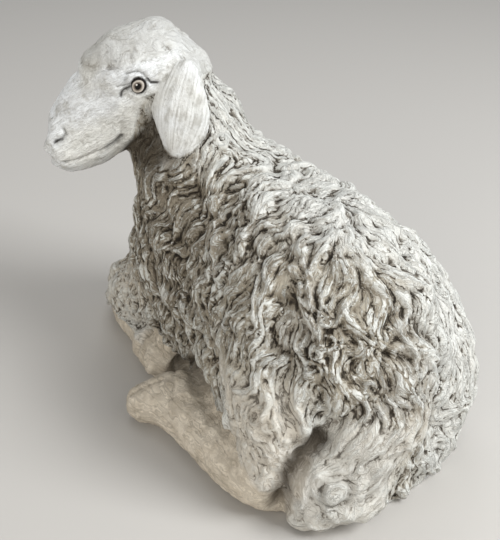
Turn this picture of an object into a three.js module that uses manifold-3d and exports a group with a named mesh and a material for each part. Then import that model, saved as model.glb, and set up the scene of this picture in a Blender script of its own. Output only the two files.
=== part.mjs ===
// A reclining sheep, cast in one piece of stone: the legs are folded beside the body, the head is
// turned to the sheep's left, and the broad tail lies on the ground behind the left hock.
// Millimetres, +Z up. The chest faces -Y and the sheep's left side is +X. The origin is on the flat
// underside, below the middle of the figure.
import * as THREE from "three";
import Module from "manifold-3d";
import { mergeVertices } from "three/addons/utils/BufferGeometryUtils.js";

// Driving dimensions. The figure's places and girths are shares of its length.
const figureLength = 300;
const barrelWidth = 144;
const backHeight = 166;
const neckWidth = 62;
const headLength = 127;
const headWidth = 60;
const earLength = 62;
const earWidth = 33;
const earThickness = 13;
const hindCannonWidth = 33;
const foreCannonWidth = 26;
const tailWidth = 52;

// The fleece: locks that lie down and back over the body, each a low ridge with a blunt end.
const lockSpacing = 17;
const lockLength = 38;
const lockWidth = 20;
const lockHeight = 7;
const lockSpans = 5; // straight spans along one lock

// The surface is drawn on a grid and then thinned to the triangles wanted.
const gridStep = 3;
const trianglesWanted = 9300;
const headCare = 6; // how many times dearer an error on the head is than one on the fleece

const share = figureLength / 300; // the places below are drawn for a figure 300 long
const at = (x, y, z) => new THREE.Vector3(x, y, z).multiplyScalar(share);
const { clamp, degToRad, lerp, smoothstep } = THREE.MathUtils;

// Every form is a function of a point that gives its distance to the surface, negative inside.

function blend(a, b, reach) {
  const mix = Math.max(reach - Math.abs(a - b), 0) / reach;
  return Math.min(a, b) - mix * mix * reach * 0.25;
}

const carve = (a, b, reach) => -blend(-a, b, reach);

// One form of many, each blended to the ones before it over its own reach.
function blended(...parts) {
  return (p) => {
    let distance = parts[0].form(p);
    for (let i = 1; i < parts.length; i++) {
      distance = blend(distance, parts[i].form(p), parts[i].reach * share);
    }
    return distance;
  };
}

// An ellipsoid about a centre, turned by Euler angles in degrees.
function ellipsoid(centre, radii, turn = [0, 0, 0]) {
  const [ax, ay, az] = turn.map(degToRad);
  const toLocal = new THREE.Matrix4()
    .makeRotationFromEuler(new THREE.Euler(ax, ay, az, "ZYX"))
    .setPosition(centre)
    .invert();
  const local = new THREE.Vector3();
  return (p) => {
    local.copy(p).applyMatrix4(toLocal);
    const near = Math.hypot(local.x / radii[0], local.y / radii[1], local.z / radii[2]);
    const slope = Math.hypot(
      local.x / radii[0] ** 2,
      local.y / radii[1] ** 2,
      local.z / radii[2] ** 2,
    );
    return slope < 1e-9 ? -Math.min(...radii) : (near * (near - 1)) / slope;
  };
}

// A round limb along a smooth curve through points, each with its own radius. Far from it, the
// distance to the ball around it will do.
function limb(points, radii, steps = 8) {
  const curve = new THREE.CatmullRomCurve3(points);
  const radiusAt = (t) => {
    const place = t * (radii.length - 1);
    const i = Math.min(Math.floor(place), radii.length - 2);
    return lerp(radii[i], radii[i + 1], place - i);
  };
  const joints = [];
  for (let i = 0; i <= steps; i++) {
    joints.push({ place: curve.getPoint(i / steps), radius: radiusAt(i / steps) });
  }
  const spans = joints.slice(1).map((joint, i) => {
    const axis = joint.place.clone().sub(joints[i].place);
    return { from: joints[i], to: joint, axis, reach: axis.lengthSq() };
  });
  const ball = new THREE.Sphere().setFromPoints(points);
  ball.radius += Math.max(...radii);
  const farOff = 36 * share;
  return (p) => {
    const outside = ball.distanceToPoint(p);
    if (outside > farOff) return outside;
    let nearest = Infinity;
    for (const { from, to, axis, reach } of spans) {
      const x = p.x - from.place.x;
      const y = p.y - from.place.y;
      const z = p.z - from.place.z;
      const t = clamp((x * axis.x + y * axis.y + z * axis.z) / reach, 0, 1);
      const gap = Math.hypot(x - t * axis.x, y - t * axis.y, z - t * axis.z);
      nearest = Math.min(nearest, gap - lerp(from.radius, to.radius, t));
    }
    return nearest;
  };
}

// A form drawn by its profile: at each station along the axis it has a top, an underside and a half
// width. The frame's columns are the axis, the side and the up direction.
function profiled(frame, stations) {
  const toLocal = frame.clone().invert();
  const local = new THREE.Vector3();
  const start = stations[0].along;
  const end = stations.at(-1).along;
  const fineness = 200;
  const tracks = ["top", "under", "half"].map((key) => {
    const curve = new THREE.SplineCurve(stations.map((s) => new THREE.Vector2(s.along, s[key])));
    const samples = curve.getPoints(stations.length * 12);
    const track = new Float32Array(fineness + 1);
    let i = 1;
    for (let n = 0; n <= fineness; n++) {
      const along = lerp(start, end, n / fineness);
      while (i < samples.length - 1 && samples[i].x < along) i++;
      const span = Math.max(samples[i].x - samples[i - 1].x, 1e-6);
      track[n] = lerp(samples[i - 1].y, samples[i].y, clamp((along - samples[i - 1].x) / span, 0, 1));
    }
    return track;
  });
  return (p) => {
    local.copy(p).applyMatrix4(toLocal);
    const along = clamp(local.x, start, end);
    const place = ((along - start) / (end - start)) * fineness;
    const n = Math.min(Math.floor(place), fineness - 1);
    const [top, under, half] = tracks.map((track) => lerp(track[n], track[n + 1], place - n));
    const rise = Math.max((top - under) / 2, 1);
    const wide = Math.max(half, 1);
    const off = Math.hypot((local.z - (top + under) / 2) / rise, local.y / wide);
    const across = (off - 1) * Math.min(rise, wide);
    return Math.hypot(Math.max(across, 0), local.x - along) + Math.min(across, 0);
  };
}

// The trunk is a barrel with a rump that falls almost straight to the ground, a chest and shoulders.
function trunk() {
  const half = barrelWidth / 2;
  const heightAbove = (z, part = 1) => backHeight * part - z * share;
  const s = (value) => value * share;
  return blended(
    { form: ellipsoid(at(-6, 25, 62), [half, s(112), heightAbove(62)]) },
    { form: ellipsoid(at(-7, 82, 42), [half * 0.98, s(66), heightAbove(42, 0.96)]), reach: 24 },
    { form: ellipsoid(at(3, -50, 66), [half * 0.82, s(56), heightAbove(66)]), reach: 28 },
    { form: ellipsoid(at(22, -98, 48), [half * 0.56, s(36), s(54)]), reach: 24 },
    { form: limb([at(36, 66, 100), at(46, 92, 62), at(52, 110, 28)], [30, 28, 25].map(s)), reach: 14 },
    { form: limb([at(-42, 78, 98), at(-50, 102, 64), at(-46, 108, 26)], [30, 34, 33].map(s)), reach: 20 },
  );
}

function neck() {
  const girths = [1.6, 1.44, 1.14, 0.96, 0.82].map((part) => (part * neckWidth) / 2);
  return limb([at(10, -50, 95), at(14, -59, 127), at(20, -67, 162), at(25, -72, 190), at(29, -76, 206)], girths);
}

// The head's own frame: x runs to the nose, y to the head's left, z up through the poll.
const headFrame = new THREE.Matrix4()
  .setPosition(at(30, -78, 212))
  .multiply(new THREE.Matrix4().makeRotationZ(degToRad(-30)))
  .multiply(new THREE.Matrix4().makeRotationY(degToRad(30)));
const toHead = headFrame.clone().invert();
const headUnit = headLength / 127; // the places on the head are drawn for a head 127 long
const sideUnit = headWidth / 60;
const onHead = (along, side, up) =>
  new THREE.Vector3(along * headUnit, side * sideUnit, up * headUnit).applyMatrix4(headFrame);
const bothSides = [1, -1];

function skull() {
  const station = (along, top, under, half) => ({
    along: along * headUnit,
    top: top * headUnit,
    under: under * headUnit,
    half: half * sideUnit,
  });
  return profiled(headFrame, [
    station(-22, 2, -14, 12),
    station(-17, 15, -22, 22),
    station(-6, 26, -30, 27),
    station(12, 30, -34, 28),
    station(26, 30, -36, 27),
    station(40, 27, -38, 24),
    station(54, 21, -38, 21.5),
    station(70, 14, -37, 20),
    station(86, 6, -34, 18.5),
    station(95, -2, -31, 16),
    station(102, -12, -26, 9),
  ]);
}

function head() {
  const size = (radii) => radii.map((r) => r * headUnit);
  const turn = [0, 30, -30];
  const lumps = bothSides.flatMap((s) => [
    { form: ellipsoid(onHead(22, 20 * s, 15), size([17, 9, 6]), turn), reach: 8 },
    { form: ellipsoid(onHead(91, 9 * s, -8), size([11, 8, 9]), turn), reach: 8 },
  ]);
  const cap = ellipsoid(onHead(11, 0, 20), size([33, 25 * sideUnit, 14]), turn);
  const forelock = ellipsoid(onHead(37, 0, 23), size([12, 17, 9]), turn);
  const full = blended({ form: skull() }, { form: cap, reach: 6 }, { form: forelock, reach: 6 }, ...lumps);
  const sockets = bothSides.map((s) => ellipsoid(onHead(20, 30 * s, 5), size([10, 5, 7]), turn));
  const eyes = bothSides.map((s) => ellipsoid(onHead(17, 21.5 * s, 5), size([7.5, 6.5, 6.5]), turn));
  const nostrils = bothSides.map((s) => ellipsoid(onHead(96, 15 * s, -9), size([8, 4, 2.5]), [0, 60, -30]));
  const mouths = bothSides.map((s) =>
    limb([onHead(104, 3 * s, -22), onHead(90, 18 * s, -27), onHead(70, 21 * s, -26), onHead(50, 23 * s, -24)], [1.8, 2, 2, 2.4]),
  );
  return (p) => {
    let distance = full(p);
    for (const socket of sockets) distance = carve(distance, socket(p), 4 * share);
    for (const eye of eyes) distance = Math.min(distance, eye(p));
    for (const nostril of nostrils) distance = carve(distance, nostril(p), 2 * share);
    for (const mouth of mouths) distance = carve(distance, mouth(p), 2 * share);
    return distance;
  };
}

// The ears hang from behind the brow, flat side out: the root is sunk in the skull and the tip
// stands off the cheek.
function ear(sign) {
  const middle = onHead(sign > 0 ? -2 : 4, 31 * sign, sign > 0 ? -19 : -24);
  const radii = [earThickness / 2, earWidth / 2, earLength / 2];
  const sideways = 60; // degrees from +X to the head's left
  return ellipsoid(middle, radii, [-12, -7 * sign, sideways]);
}

function hindLegs() {
  const girth = (parts) => parts.map((part) => (part * hindCannonWidth) / 2);
  const left = blended(
    { form: limb([at(60, 108, 19), at(69, 90, 15), at(74, 42, 15), at(78, 10, 16)], girth([1.2, 1, 0.98, 1.1])) },
    { form: limb([at(79, 6, 15), at(88, 0, 13), at(93, -3, 12)], girth([1, 0.9, 0.78])), reach: 4 },
  );
  const right = blended(
    { form: limb([at(-56, 92, 16), at(-64, 60, 14), at(-66, 24, 14)], girth([1, 0.8, 0.84])) },
    { form: limb([at(-66, 20, 14), at(-62, 2, 12)], girth([0.9, 0.7])), reach: 4 },
  );
  return (p) => Math.min(left(p), right(p));
}

function foreLegs() {
  const girth = (parts) => parts.map((part) => (part * foreCannonWidth) / 2);
  const left = limb(
    [at(51, -130, 14), at(61, -96, 11), at(63, -62, 12), at(61, -42, 14), at(59, -34, 13)],
    girth([1.2, 0.95, 1, 1.15, 1]),
  );
  const right = limb([at(-6, -134, 14), at(-22, -100, 13), at(-40, -62, 13)], girth([1.2, 0.95, 1]));
  return (p) => Math.min(left(p), right(p));
}

// The woolly upper forelegs, from the elbow to the knee.
function forearms() {
  const girth = (parts) => parts.map((part) => part * share);
  return blended(
    { form: limb([at(34, -50, 84), at(42, -72, 52), at(48, -102, 36), at(50, -126, 22)], girth([30, 28, 24, 19])) },
    { form: limb([at(-20, -56, 78), at(-22, -84, 44), at(-8, -128, 20)], girth([28, 26, 18])), reach: 10 },
  );
}

function tail() {
  const girth = (parts) => parts.map((part) => (part * tailWidth) / 2);
  return blended(
    { form: limb([at(-12, 128, 92), at(4, 134, 62), at(26, 132, 36), at(42, 128, 18)], girth([0.8, 1, 0.96, 0.86])) },
    { form: limb([at(2, 128, 48), at(16, 132, 24)], girth([0.8, 0.8])), reach: 8 },
    { form: ellipsoid(at(42, 146, 28), [11, 8, 11].map((r) => r * share)), reach: 8 },
  );
}

// The figure without its fleece.
function bare() {
  return blended(
    { form: trunk() },
    { form: neck(), reach: 24 },
    { form: forearms(), reach: 8 },
    { form: tail(), reach: 6 },
    { form: head(), reach: 10 },
    { form: ear(1), reach: 1.5 },
    { form: ear(-1), reach: 1.5 },
    { form: hindLegs(), reach: 5 },
    { form: foreLegs(), reach: 5 },
  );
}

// The surface of a form on a grid, as one vertex in each cell that it crosses and one square across
// each grid line that it crosses.
function surfaceOf(form, low, high, step) {
  const [nx, ny, nz] = ["x", "y", "z"].map((axis) => Math.ceil((high[axis] - low[axis]) / step) + 1);
  const values = new Float32Array(nx * ny * nz);
  const index = (i, j, k) => i + nx * (j + ny * k);
  const p = new THREE.Vector3();
  const block = 4;
  for (let k = 0; k < nz; k += block) {
    for (let j = 0; j < ny; j += block) {
      for (let i = 0; i < nx; i += block) {
        p.set(i + block / 2, j + block / 2, k + block / 2).multiplyScalar(step).add(low);
        const middle = form(p);
        const far = Math.abs(middle) > step * block * 1.8;
        for (let c = k; c < Math.min(k + block, nz); c++) {
          for (let b = j; b < Math.min(j + block, ny); b++) {
            for (let a = i; a < Math.min(i + block, nx); a++) {
              p.set(a, b, c).multiplyScalar(step).add(low);
              values[index(a, b, c)] = far ? middle : form(p);
            }
          }
        }
      }
    }
  }
  const corners = [0, 1, nx, nx + 1].flatMap((c) => [c, c + nx * ny]).sort((a, b) => a - b);
  const edges = [];
  for (let a = 0; a < 8; a++) {
    for (const bit of [1, 2, 4]) if (!(a & bit)) edges.push([a, a | bit]);
  }
  fillPinches(values, [nx, ny, nz], corners, edges, step);
  const vertexOf = new Int32Array(values.length).fill(-1);
  const vertices = [];
  for (let k = 0; k < nz - 1; k++) {
    for (let j = 0; j < ny - 1; j++) {
      for (let i = 0; i < nx - 1; i++) {
        const base = index(i, j, k);
        const sum = new THREE.Vector3();
        let crossings = 0;
        for (const [a, b] of edges) {
          const va = values[base + corners[a]];
          const vb = values[base + corners[b]];
          if (va < 0 === vb < 0) continue;
          const t = va / (va - vb);
          sum.x += (a & 1) + t * ((b & 1) - (a & 1));
          sum.y += ((a >> 1) & 1) + t * (((b >> 1) & 1) - ((a >> 1) & 1));
          sum.z += (a >> 2) + t * ((b >> 2) - (a >> 2));
          crossings++;
        }
        if (!crossings) continue;
        vertexOf[base] = vertices.length;
        sum.divideScalar(crossings).add(p.set(i, j, k));
        vertices.push(sum.multiplyScalar(step).add(low));
      }
    }
  }
  const triangles = [];
  const strides = [1, nx, nx * ny];
  for (let k = 1; k < nz - 1; k++) {
    for (let j = 1; j < ny - 1; j++) {
      for (let i = 1; i < nx - 1; i++) {
        const base = index(i, j, k);
        for (let axis = 0; axis < 3; axis++) {
          const inside = values[base] < 0;
          if (inside === values[base + strides[axis]] < 0) continue;
          const u = strides[(axis + 1) % 3];
          const v = strides[(axis + 2) % 3];
          const ring = [base - u - v, base - v, base, base - u].map((cell) => vertexOf[cell]);
          if (!inside) ring.reverse();
          triangles.push([ring[0], ring[1], ring[2]], [ring[0], ring[2], ring[3]]);
        }
      }
    }
  }
  return { vertices, triangles };
}

// Fills the cells where two sheets of the surface would touch, so that every edge has two faces.
function fillPinches(values, [nx, ny, nz], corners, edges, step) {
  const simple = new Uint8Array(256);
  for (let mask = 0; mask < 256; mask++) {
    const linked = (want) => {
      const members = [...Array(8).keys()].filter((c) => ((mask >> c) & 1) === want);
      const found = new Set(members.slice(0, 1));
      for (let pass = 0; pass < 8; pass++) {
        for (const [a, b] of edges) {
          if (((mask >> a) & 1) !== want || ((mask >> b) & 1) !== want) continue;
          if (found.has(a)) found.add(b);
          if (found.has(b)) found.add(a);
        }
      }
      return found.size === members.length;
    };
    const splitFace = [1, 2, 4].some((bit) =>
      [0, bit].some((face) => {
        const [u, v] = [1, 2, 4].filter((other) => other !== bit);
        const on = [face, face | u, face | u | v, face | v].map((c) => (mask >> c) & 1);
        return on[0] === on[2] && on[1] === on[3] && on[0] !== on[1];
      }),
    );
    simple[mask] = linked(0) && linked(1) && !splitFace ? 1 : 0;
  }
  let changed = true;
  while (changed) {
    changed = false;
    for (let k = 0; k < nz - 1; k++) {
      for (let j = 0; j < ny - 1; j++) {
        for (let i = 0; i < nx - 1; i++) {
          const base = i + nx * (j + ny * k);
          let mask = 0;
          for (let c = 0; c < 8; c++) if (values[base + corners[c]] < 0) mask |= 1 << c;
          if (simple[mask]) continue;
          for (const c of corners) values[base + c] = Math.min(values[base + c], -0.1 * step);
          changed = true;
        }
      }
    }
  }
}

// How much fleece a place carries: none on the face, ears and lower legs, and less on the brow.
function fleeceCover() {
  const smooth = [hindLegs(), foreLegs(), ear(1), ear(-1)];
  const face = skull();
  const throat = neck();
  const local = new THREE.Vector3();
  return (p) => {
    let cover = smoothstep(p.z, 1, 9);
    for (const form of smooth) cover *= smoothstep(form(p), 1 * share, 5 * share);
    if (p.z < 140 * share) return cover;
    local.copy(p).applyMatrix4(toHead).divideScalar(headUnit);
    const bare = smoothstep(throat(p) - face(p), 0, 6 * share);
    const onBrow = smoothstep(local.z - 11 - 0.28 * (local.x + 14), 0, 4) * smoothstep(50 - local.x, 0, 6);
    return cover * Math.max(1 - bare, 0.5 * onBrow);
  };
}

// The way the wool lies: down the sides and back along the spine, and forward over the brow.
function layOf(p, normal, lay) {
  const outwards = clamp((p.x / share + 4) / 30, -1, 1);
  const high = smoothstep(p.z / share, 215, 232);
  const rump = smoothstep(p.y / share, 40, 110);
  const throat = smoothstep(p.z / share, 150, 175);
  lay.set(outwards * lerp(1, 0.3, Math.max(rump, throat)), lerp(0.3, 0.75, rump) * (1 - 0.6 * throat), -1);
  lay.lerp(new THREE.Vector3(0.85, -0.4, -0.2), high);
  return lay.addScaledVector(normal, -lay.dot(normal)).normalize();
}

function slopeOf(form, p, normal) {
  const reach = 0.5;
  const q = p.clone();
  const here = form(p);
  for (const axis of ["x", "y", "z"]) {
    q[axis] += reach;
    normal[axis] = form(q) - here;
    q[axis] = p[axis];
  }
  return normal.normalize();
}

// A repeatable run of numbers from 0 to 1.
function dice(seed) {
  let state = seed;
  return () => {
    state = (state * 1664525 + 1013904223) % 4294967296;
    return state / 4294967296;
  };
}

// Things kept by the cell that they are in, to find the ones near a point.
function cellsOf(size) {
  const cells = new Map();
  const key = (i, j, k) => i + 1024 * (j + 1024 * k);
  const cell = (value) => Math.floor(value / size) + 512;
  return {
    add(p, thing) {
      const name = key(cell(p.x), cell(p.y), cell(p.z));
      if (!cells.has(name)) cells.set(name, []);
      cells.get(name).push(thing);
    },
    near(p) {
      const found = [];
      for (let i = -1; i <= 1; i++) {
        for (let j = -1; j <= 1; j++) {
          for (let k = -1; k <= 1; k++) {
            const things = cells.get(key(cell(p.x) + i, cell(p.y) + j, cell(p.z) + k));
            if (things) found.push(...things);
          }
        }
      }
      return found;
    },
  };
}

// Each lock starts at a place spread over the surface and winds along the lay of the wool.
function locksOn(form, coverAt, places) {
  const roll = dice(11);
  const taken = cellsOf(lockSpacing);
  const spans = cellsOf(lockWidth * 0.5);
  const normal = new THREE.Vector3();
  const lay = new THREE.Vector3();
  const mixed = places.map((place) => ({ place, order: roll() })).sort((a, b) => a.order - b.order);
  for (const { place } of mixed) {
    if (coverAt(place) < 0.3) continue;
    const size = place.z > 190 * share ? 0.72 : lerp(0.9, 1.15, roll());
    if (taken.near(place).some((other) => other.distanceTo(place) < lockSpacing * size * 0.86)) continue;
    taken.add(place, place);
    const sway = lerp(-0.5, 0.5, roll());
    const bend = lerp(-1.5, 1.5, roll());
    const p = place.clone();
    let from = p.clone();
    for (let n = 1; n <= lockSpans; n++) {
      layOf(p, slopeOf(form, p, normal), lay);
      lay.applyAxisAngle(normal, sway + bend * Math.sin((n / lockSpans) * Math.PI * 1.5));
      p.addScaledVector(lay, (lockLength * size) / lockSpans);
      p.addScaledVector(normal, -form(p));
      const axis = p.clone().sub(from);
      const span = { from, axis, start: (n - 1) / lockSpans, size, reach: axis.lengthSq() };
      spans.add(from.clone().addScaledVector(axis, 0.5), span);
      from = p.clone();
    }
  }
  return spans;
}

// The height of the wool at a place: the proudest of the locks over it.
function woolAt(spans) {
  return (p) => {
    let best = 0;
    for (const { from, axis, start, size, reach } of spans.near(p)) {
      const x = p.x - from.x;
      const y = p.y - from.y;
      const z = p.z - from.z;
      const t = clamp((x * axis.x + y * axis.y + z * axis.z) / reach, 0, 1);
      const gap = Math.hypot(x - t * axis.x, y - t * axis.y, z - t * axis.z);
      const along = start + t / lockSpans;
      const half = (lockWidth / 2) * size * (1 - 0.45 * along ** 3);
      const proud = lockHeight * size * (0.55 + 0.45 * along);
      best = Math.max(best, proud * (1 - (gap / half) ** 2));
    }
    return best;
  };
}

// The figure with its locks raised over the bare form.
function fleeced(form, low, high) {
  const coverAt = fleeceCover();
  const coarse = surfaceOf(form, low, high, gridStep * 2);
  const wool = woolAt(locksOn(form, coverAt, coarse.vertices));
  const sunk = lockHeight * 0.55;
  return (p) => {
    const distance = form(p);
    if (Math.abs(distance) > lockHeight + gridStep) return distance;
    const cover = coverAt(p);
    return cover > 0 ? distance - cover * (wool(p) - sunk) : distance;
  };
}

// The outer skin alone, without the small bubbles that the forms may close in between them.
function outerSkin({ vertices, triangles }) {
  const group = vertices.map((_, n) => n);
  const leader = (n) => {
    while (group[n] !== n) n = group[n] = group[group[n]];
    return n;
  };
  for (const [a, b, c] of triangles) {
    group[leader(a)] = leader(b);
    group[leader(b)] = leader(c);
  }
  const sizes = new Map();
  for (const [a] of triangles) sizes.set(leader(a), (sizes.get(leader(a)) ?? 0) + 1);
  const largest = [...sizes].sort((a, b) => b[1] - a[1])[0][0];
  return { vertices, triangles: triangles.filter(([a]) => leader(a) === largest) };
}

// Thins a closed surface by drawing edges together to a point, the ones that move it least first.
// A vertex keeps the sum of the planes that its faces lay in, as the ten numbers of a quadric.
function thinned({ vertices, triangles }, wanted, careAt) {
  const cross = new THREE.Vector3();
  const faceCross = (a, b, c) =>
    cross.set(
      (b.y - a.y) * (c.z - a.z) - (b.z - a.z) * (c.y - a.y),
      (b.z - a.z) * (c.x - a.x) - (b.x - a.x) * (c.z - a.z),
      (b.x - a.x) * (c.y - a.y) - (b.y - a.y) * (c.x - a.x),
    );
  const evenness = 0.004; // a light pull to the old places keeps the triangles from turning to slivers
  const quadrics = vertices.map(() => new Float64Array(10));
  const sum = new Float64Array(10);
  for (const [i, j, k] of triangles) {
    const a = vertices[i];
    const normal = faceCross(a, vertices[j], vertices[k]).clone();
    const area = normal.length();
    if (area < 1e-9) continue;
    const { x, y, z } = normal.divideScalar(area);
    const w = -normal.dot(a);
    const plane = [x * x, x * y, x * z, x * w, y * y, y * z, y * w, z * z, z * w, w * w];
    for (const v of [i, j, k]) {
      const p = vertices[v];
      const pull = [1, 0, 0, -p.x, 1, 0, -p.y, 1, -p.z, p.lengthSq()];
      const weight = area * careAt(p);
      plane.forEach((value, n) => (quadrics[v][n] += weight * (value + evenness * pull[n])));
    }
  }
  let faces = triangles;
  while (faces.length > wanted) {
    const around = vertices.map(() => []);
    faces.forEach((face, n) => face.forEach((v) => around[v].push(n)));
    const edges = [];
    for (const face of faces) {
      for (let n = 0; n < 3; n++) {
        const [a, b] = [face[n], face[(n + 1) % 3]];
        if (a < b) edges.push(drawnTogether(a, b, quadrics, sum));
      }
    }
    edges.sort((a, b) => a.cost - b.cost);
    const dearest = edges[Math.floor(edges.length * 0.35)].cost;
    const moved = new Uint8Array(vertices.length);
    const gone = new Uint8Array(faces.length);
    let left = faces.length;
    for (const { a, b, place, cost } of edges) {
      if (cost > dearest || left <= wanted) break;
      if (moved[a] || moved[b]) continue;
      const ring = new Set([...around[a], ...around[b]]);
      const beside = (v) => new Set(around[v].flatMap((n) => faces[n]).filter((u) => u !== a && u !== b));
      const [besideA, besideB] = [beside(a), beside(b)];
      if ([...besideA].filter((v) => besideB.has(v)).length !== 2) continue;
      const folds = [...ring].some((n) => {
        const face = faces[n];
        if (face.includes(a) && face.includes(b)) return false;
        const before = faceCross(...face.map((v) => vertices[v])).clone();
        const after = faceCross(...face.map((v) => (v === a || v === b ? place : vertices[v])));
        return after.dot(before) < 0.3 * after.length() * before.length() || after.length() < 0.5;
      });
      if (folds) continue;
      vertices[a].copy(place);
      for (let n = 0; n < 10; n++) quadrics[a][n] += quadrics[b][n];
      for (const n of around[b]) {
        if (faces[n].includes(a)) {
          gone[n] = 1;
          left--;
        } else {
          faces[n] = faces[n].map((v) => (v === b ? a : v));
        }
      }
      for (const v of [a, b, ...besideA, ...besideB]) moved[v] = 1;
    }
    if (left === faces.length) break;
    faces = faces.filter((_, n) => !gone[n]);
  }
  return { vertices, triangles: faces };
}

// The point where an edge is best drawn together, and what that costs.
function drawnTogether(a, b, quadrics, q) {
  for (let n = 0; n < 10; n++) q[n] = quadrics[a][n] + quadrics[b][n];
  const matrix = new THREE.Matrix3(q[0], q[1], q[2], q[1], q[4], q[5], q[2], q[5], q[7]);
  const place = new THREE.Vector3(-q[3], -q[6], -q[8]).applyMatrix3(matrix.invert());
  const cost = q[9] + q[3] * place.x + q[6] * place.y + q[8] * place.z;
  return { a, b, place, cost };
}

// The stone below the ground is cut off flat.
async function cutFlat({ vertices, triangles }) {
  const wasm = await Module();
  wasm.setup();
  const solidOf = (geometry) => {
    const bareGeometry = geometry.clone();
    bareGeometry.deleteAttribute("normal");
    bareGeometry.deleteAttribute("uv");
    const merged = mergeVertices(bareGeometry);
    const vertProperties = merged.getAttribute("position").array;
    const triVerts = Uint32Array.from(merged.getIndex().array);
    return new wasm.Manifold(new wasm.Mesh({ numProp: 3, vertProperties, triVerts }));
  };
  const nearGround = 0.4;
  for (const v of vertices) if (Math.abs(v.z) < nearGround) v.z = -nearGround;
  const figure = new THREE.BufferGeometry();
  const places = vertices.flatMap((v) => v.toArray());
  figure.setAttribute("position", new THREE.Float32BufferAttribute(places, 3));
  figure.setIndex(triangles.flat());
  const room = figureLength * 2;
  const above = new THREE.BoxGeometry(room, room, room).translate(0, 0, room / 2);
  const cut = solidOf(figure).intersect(solidOf(above)).getMesh();
  const geometry = new THREE.BufferGeometry();
  geometry.setAttribute("position", new THREE.Float32BufferAttribute(cut.vertProperties, 3));
  geometry.setIndex([...cut.triVerts]);
  return geometry;
}

// The figure stands with the middle of its bounds over the origin.
function centred(geometry) {
  geometry.computeBoundingBox();
  const middle = geometry.boundingBox.getCenter(new THREE.Vector3());
  return geometry.translate(-middle.x, -middle.y, 0);
}

const low = at(-110, -190, 0).setZ(-3 * gridStep);
const high = at(150, 190, 290);
const under = -2 * gridStep;
const form = bare();
const standing = (p) => Math.max(form(p), under - p.z);
const skin = outerSkin(surfaceOf(fleeced(standing, low, high), low, high, gridStep));
const headMiddle = onHead(35, 0, 0);
const care = (p) => lerp(headCare, 1, smoothstep(p.distanceTo(headMiddle), 60 * share, 95 * share));
const figure = centred(await cutFlat(thinned(skin, trianglesWanted, care)));

const castStone = new THREE.MeshStandardMaterial({ color: 0xb9b6aa, roughness: 0.9, metalness: 0 });
const sheep = new THREE.Mesh(figure, castStone);
sheep.name = "sheep";
const root = new THREE.Group();
root.add(sheep);
export default root;
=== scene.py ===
# The looks of a reclining sheep cast in stone: a fleece of carved locks, a painted eye, a dark wash
# with painted shade in the carving under pale ridges, dry-brushed and with painted highlight, and painted
# shadow under the jaw and in the recesses. The places of the figure's forms are in millimetres in the
# frame that the figure is drawn in, and Blender's objects are in metres.
import math

import bmesh
import bpy
import numpy as np
from mathutils import Matrix, Vector
from mathutils.bvhtree import BVHTree


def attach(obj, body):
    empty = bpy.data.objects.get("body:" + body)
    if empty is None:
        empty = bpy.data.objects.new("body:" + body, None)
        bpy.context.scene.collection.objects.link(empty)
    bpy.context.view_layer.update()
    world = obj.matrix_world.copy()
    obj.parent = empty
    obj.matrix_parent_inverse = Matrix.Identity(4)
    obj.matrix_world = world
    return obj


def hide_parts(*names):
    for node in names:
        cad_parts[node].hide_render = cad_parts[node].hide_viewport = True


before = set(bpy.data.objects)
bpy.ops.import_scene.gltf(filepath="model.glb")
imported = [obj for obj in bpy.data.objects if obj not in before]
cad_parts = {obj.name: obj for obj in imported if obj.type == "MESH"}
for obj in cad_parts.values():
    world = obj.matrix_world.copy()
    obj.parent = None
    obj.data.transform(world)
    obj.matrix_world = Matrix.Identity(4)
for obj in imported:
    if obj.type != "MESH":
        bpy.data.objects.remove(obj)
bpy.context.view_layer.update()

MM = 0.001
FIGURE_MIDDLE = np.array([10.06, 5.71, 0.0])  # the drawn figure's middle, over the part's origin
FINE_GRID = 1.25  # size of the first, fine mesh
EYE_REACH = 14  # how far round the eyes, the nostrils and the mouth that mesh is halved again
NOSTRIL_REACH = 5
MOUTH_REACH = 4
TRIANGLES = 196000
SEED = 23
LATTICE_SIZE = 40  # random values along each side of a lattice, before it repeats

SMOOTH_ROUNDS = 130  # rounds that smooth the solid's broad ridges away
SWELL_ROUNDS = 60
MOST_SWELL = 3  # most that the wool is swelled back afterwards
STILL_BELOW = 0.6  # heights under which nothing is carved, and under which all is flat
FLAT_BELOW = 0.5

# The fleece: room from lock to lock, and each lock's rise, length and width.
LOCK_GAP = 8.6
LOCK_RISE = 4.6
LOCK_LENGTH = (26, 42)
BROAD_WIDTH = (14, 19)
SLIM_WIDTH = (9, 13)
BROAD_SHARE = 0.42
SPIRAL_SHARE = 0.06

# The head's own frame: x to the nose, y to the head's left, z up through the poll.
HEAD_ORIGIN = np.array([30.0, -78.0, 212.0])
HEAD_TURN = Matrix.Rotation(math.radians(-30), 3, "Z") @ Matrix.Rotation(math.radians(30), 3, "Y")
HEAD_AXES = np.array(HEAD_TURN).T
SKULL = np.array([  # along, top, underside, half width
    [-22, 2, -14, 12], [-17, 15, -22, 22], [-6, 26, -30, 27], [12, 30, -34, 28], [26, 30, -36, 27],
    [40, 27, -38, 24], [54, 21, -38, 21.5], [70, 14, -37, 20], [86, 6, -34, 18.5], [95, -2, -31, 16],
    [102, -12, -26, 9],
], float)

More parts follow.
